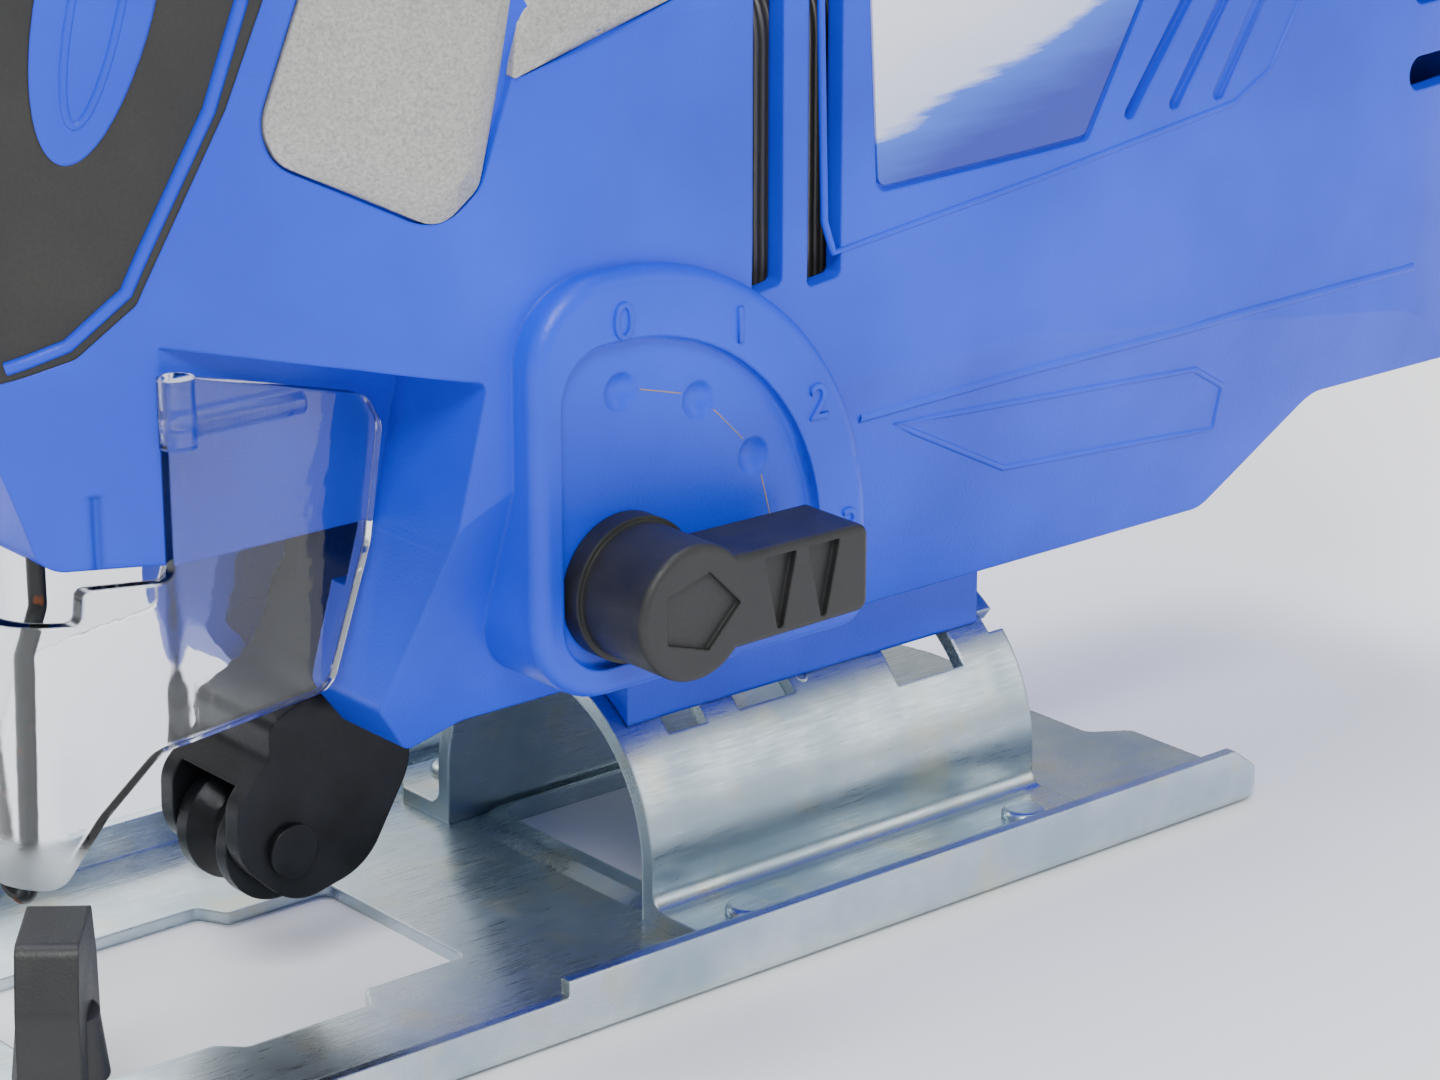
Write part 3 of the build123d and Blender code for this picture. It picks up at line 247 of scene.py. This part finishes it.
# injection-moulded polycarbonate: clear walls, fine scuffs, satin where the lower lip was ejected
CLEAR, tree, place, shader = blank("clear_polycarbonate")
axes = add(tree, "SeparateXYZ", {0: place})
lip = span(tree, axes.outputs["Z"], 24, 29, 1, 0)
scuff = span(tree, noise(tree, place, 0.8, 4.0, 0.7, stretch=(1, 1, 6)), 0.55, 0.75, 0.0, 0.25)
wire(tree, add(tree, "Math", {0: scuff, 1: lip}, operation="MAXIMUM").outputs[0], shader.inputs["Roughness"])
wire(tree, mix(tree, lip, "#F7FAFA", "#E4EAEC"), shader.inputs["Base Color"])
shader.inputs["Transmission Weight"].default_value = 1.0
shader.inputs["IOR"].default_value = 1.42
relief(tree, shader, noise(tree, place, 4.0), 0.05, 0.5)

FINISHES = {
    BLUE: ["housing_left", "housing_right", "tilt_shoe"],
    RUBBER: ["nose_rubber_left", "nose_rubber_right", "grip_rubber_left", "grip_rubber_right"],
    SILVER: ["gear_cover_left", "gear_cover_right"],
    LABEL: ["label_plates"],
    ZINC: ["sole_plate", "saddle", "rivets", "clamp_plate"],
    STEEL: ["housing_screws", "arm_pivot", "gear_pin", "front_bearing", "rear_bearing", "dial_axle",
            "clamp_screw", "plunger", "blade_clamp", "armature_shaft", "drive_gear", "counterweight",
            "orbital_cam", "detent_ball"],
    SPRING: ["wing_spring_left", "wing_spring_right"],
    OXIDE: ["roller_arm", "roller_pin", "guide_roller"],
    NYLON: ["wing_screw_left", "wing_screw_right", "orbital_knob", "trigger", "lock_button", "speed_dial",
            "fan", "switch_body", "cord_inlet", "dust_duct", "bearing_seat"],
    WIRE: ["finger_guard"],
    ALLOY: ["gear_frame"],
    CORE: ["stator_core", "armature_core"],
    COPPER: ["field_coils", "commutator"],
    BRASS: ["plunger_bushings", "brush_holders"],
    CARBON: ["carbon_brushes"],
    CLEAR: ["blade_guard"],
}
for finish, names in FINISHES.items():
    for name in names:
        nodes[name].data.materials.clear()
        nodes[name].data.materials.append(finish)

# ---------------------------------------------------------------- shape tools


def surface_of(*names):
    """A ray target made of some CAD nodes, in millimetres."""
    points, faces = [], []
    for name in names:
        mesh = nodes[name].data
        base = len(points)
        points += [v.co / MM for v in mesh.vertices]
        faces += [[base + i for i in p.vertices] for p in mesh.polygons]
    return BVHTree.FromPolygons(points, faces)


def flank_y(target, x, z, centre):
    """Where the left flank is at x and z, looked for towards a centre if the point is just off its edge."""
    for step in range(30):
        share = step * 0.03
        start = Vector((x + (centre[0] - x) * share, -60, z + (centre[1] - z) * share))
        hit = target.ray_cast(start, Vector((0, 1, 0)))[0]
        if hit is not None:
            return hit.y
    raise ValueError(f"no surface near {x}, {z}")


def rounded(points, radii, steps=6):
    """A closed outline whose corners are arcs, with the same count of points at every corner."""
    out = []
    for i, corner in enumerate(points):
        here = Vector(corner)
        back = (Vector(points[i - 1]) - here).normalized()
        ahead = (Vector(points[(i + 1) % len(points)]) - here).normalized()
        half = back.angle(ahead) / 2
        reach = radii[i] / math.tan(half)
        start, end = here + back * reach, here + ahead * reach
        for k in range(steps + 1):
            t = k / steps
            out.append(start * (1 - t) ** 2 + here * 2 * t * (1 - t) + end * t ** 2)
    return out


def mesh_piece(name, points, faces, material, body, slot, smooth=35):
    """A mesh in millimetres as a finished piece that rides on a body."""
    mesh = bpy.data.meshes.new(name)
    mesh.from_pydata([Vector(p) * MM for p in points], [], faces)
    mesh.validate()
    mesh.materials.append(material)
    mesh.shade_smooth()
    mesh.set_sharp_from_angle(angle=math.radians(smooth))
    piece = bpy.data.objects.new(name, mesh)
    bpy.context.scene.collection.objects.link(piece)
    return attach(piece, body)


def pad(outer, inner, radii_out, radii_in, target, rise, root, rings=10):
    """A raised pad that follows the flank: sides from a root depth, a bevel, then a filled top."""
    out_ring, in_ring = rounded(outer, radii_out), rounded(inner, radii_in)
    centre = sum(in_ring, Vector((0, 0))) / len(in_ring)
    levels = [(out_ring, root), (out_ring, rise[0]), (in_ring, rise[1])]
    for ring in range(1, rings):
        levels.append(([p.lerp(centre, ring / rings) for p in in_ring], rise[1]))
    points = []
    for ring, lift in levels:
        points += [(p.x, flank_y(target, p.x, p.y, centre) - lift, p.y) for p in ring]
    count = len(out_ring)
    faces = []
    for level in range(len(levels) - 1):
        for i in range(count):
            j = (i + 1) % count
            a, b = level * count, (level + 1) * count
            faces.append([a + i, a + j, b + j, b + i])
    last = (len(levels) - 1) * count
    points.append((centre.x, flank_y(target, centre.x, centre.y, centre) - rise[1], centre.y))
    faces += [[last + i, last + (i + 1) % count, len(points) - 1] for i in range(count)]
    faces.append(list(range(count))[::-1])
    return points, faces


def mirrored(points, faces):
    """The same piece on the right flank."""
    return [(x, -y, z) for x, y, z in points], [f[::-1] for f in faces]


def bead(name, path, radius, target, sink, material, body):
    """A round bead laid along the flank, sunk by part of its radius."""
    curve = bpy.data.curves.new(name, "CURVE")
    curve.dimensions = "3D"
    curve.bevel_depth = radius * MM
    curve.bevel_resolution = 3
    dense = []
    for (x0, z0), (x1, z1) in zip(path, path[1:]):
        dense += [(x0 + (x1 - x0) * k / 6, z0 + (z1 - z0) * k / 6) for k in range(6)]
    dense.append(path[-1])
    centre = (0, 100)
    line = curve.splines.new("POLY")
    line.points.add(len(dense) - 1)
    for spot, (x, z) in zip(line.points, dense):
        spot.co = (x * MM, (flank_y(target, x, z, centre) + sink) * MM, z * MM, 1)
    curve.materials.append(material)
    piece = bpy.data.objects.new(name, curve)
    bpy.context.scene.collection.objects.link(piece)
    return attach(piece, body)


# ---------------------------------------------------------------- gear cover pads
cover = surface_of("gear_cover_left")
main_edge = [(-34.7, 120.5), (-39.3, 104), (-37.9, 100.2), (-23.5, 92.6), (-19.2, 96.5), (-11.6, 120.5)]
main_top = [(-31.4, 119.5), (-34.6, 104.6), (-33.4, 101.6), (-24.3, 96.6), (-21.6, 98.6), (-15.2, 119.5)]
main_pad = pad(main_edge, main_top,
               [0.6, 6, 3, 3.5, 3.5, 0.6], [0.5, 4, 2, 2.4, 2.4, 0.5], cover, (-1.1, 1.0), PAD_ROOT)
step_pad = pad([(-15.4, 107.4), (7.6, 114.1), (7.6, 120.5), (-11.8, 120.5)],
               [(-14.2, 108.8), (6.4, 115.0), (6.4, 119.5), (-10.8, 119.5)],
               [0.4, 0.8, 0.8, 0.4], [0.3, 0.5, 0.5, 0.3], cover, (-0.9, -0.6), PAD_ROOT)
for side, turn in (("left", lambda p, f: (p, f)), ("right", mirrored)):
    piece = mesh_piece(f"gear_cover_pad_{side}", *turn(*main_pad), SILVER, "housing", "silver_paint")
    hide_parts(f"gear_cover_{side}")
    mesh_piece(f"gear_cover_step_{side}", *turn(*step_pad), SILVER, "housing", "silver_paint")

# ---------------------------------------------------------------- ribs and marks on the left flank
flank = surface_of("housing_left")
skinned = surface_of("housing_left", "nose_rubber_left")
ridge = [(-62.0, 80.1), (-56.5, 82.2), (-51.0, 87.4), (-43.4, 106), (-40.4, 117), (-39.6, 126)]
bead("nose_ridge_left", ridge, 0.75, skinned, 0.15, BLUE, "housing")
label_frame = [(25.8, 112), (26.6, 86), (27.9, 82.3), (94, 89.6), (100.5, 92.8), (105, 99.6), (110.5, 112)]
bead("label_frame_left", label_frame, 0.45, flank, 0.18, BLUE, "housing")
crease = [(34, 61.6), (60, 62.4), (96, 62.8), (131, 62.6)]
bead("flank_crease_left", crease, 0.8, flank, 0.5, BLUE, "housing")
facet = [(61, 49.2), (40, 59.6), (91, 56.4), (97.4, 52.8), (98.4, 46.6), (61, 49.2)]
bead("flank_facet_left", facet, 0.5, flank, 0.25, BLUE, "housing")
lean = math.radians(12)
oval = []
for step in range(25):
    turn = 2 * math.pi * step / 24
    across, along = 2.2 * math.cos(turn), 12.5 * math.sin(turn)
    oval.append((-52.3 + across * math.cos(lean) + along * math.sin(lean),
                 117 - across * math.sin(lean) + along * math.cos(lean)))
bead("nose_oval_rim_left", oval, 0.55, flank, 0.3, BLUE, "housing")


def digit(name, text, x, z):
    """A raised moulded digit on the pad of the orbital selector."""
    curve = bpy.data.curves.new(name, "FONT")
    curve.body = text
    curve.size = DIGIT_HEIGHT / 0.72 * MM
    curve.extrude = 0.16 * MM
    curve.bevel_depth = 0.05 * MM
    curve.align_x, curve.align_y = "CENTER", "CENTER"
    curve.materials.append(BLUE)
    piece = bpy.data.objects.new(name, curve)
    bpy.context.scene.collection.objects.link(piece)
    piece.location = (x * MM, (BOSS_FACE_Y - 0.1) * MM, z * MM)
    piece.rotation_euler = (math.pi / 2, 0, 0)
    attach(piece, "housing")


for text, x, z in (("0", -3.9, 80.4), ("1", 12.2, 77.2), ("2", 23.6, 66.4), ("3", 28.4, 51)):
    digit(f"selector_digit_{text}", text, x, z)

# the line that the detent ball rubbed between its dimples, down to bare pale plastic
RUBBED = surface("rubbed_nylon_line", "#A79467", "#7E7A86", 2, 0.2, 0.01, (0.4, 0.55), edge=0.05)
track = bpy.data.curves.new("detent_track", "CURVE")
track.dimensions = "3D"
track.bevel_depth = 0.09 * MM
for start in (90, 60, 30):
    line = track.splines.new("POLY")
    line.points.add(1)
    for spot, angle in zip(line.points, (start - 7, start - 23)):
        x = HUB_X + DETENT_R * math.cos(math.radians(angle))
        z = HUB_Z + DETENT_R * math.sin(math.radians(angle))
        spot.co = (x * MM, CRATER_FLOOR_Y * MM, z * MM, 1)
track.materials.append(RUBBED)
piece = bpy.data.objects.new("detent_track", track)
bpy.context.scene.collection.objects.link(piece)
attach(piece, "housing")

# ---------------------------------------------------------------- the zero mark embossed on the tilt saddle
angle = math.radians(ZERO_ANGLE)
bpy.ops.mesh.primitive_torus_add(major_radius=1.25 * MM, minor_radius=0.28 * MM,
                                 major_segments=32, minor_segments=10)
mark = bpy.context.object
mark.name = "saddle_zero_mark"
mark.scale = (0.75, 1.25, 1)
mark.rotation_euler = (-angle, 0, 0)
# sunk in the sheet so that it stands 0.1 mm proud, inside the 0.15 mm gap to the tilt shoe
mark_r = SADDLE_R - ZERO_SINK
mark.location = Vector((ZERO_X, mark_r * math.sin(angle), TILT_Z + mark_r * math.cos(angle))) * MM
mark.data.materials.append(ZINC)
mark.data.shade_smooth()
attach(mark, "sole")

# ---------------------------------------------------------------- floor
bpy.ops.mesh.primitive_plane_add(size=6, location=(0, 0, 0))
floor = bpy.context.object
floor.name = "floor"
PAPER, tree, place, shader = blank("white_studio_paper")
wire(tree, mix(tree, noise(tree, place, 40), "#F2F3F5", "#F7F8F9"), shader.inputs["Base Color"])
shader.inputs["Roughness"].default_value = 0.9
floor.data.materials.append(PAPER)
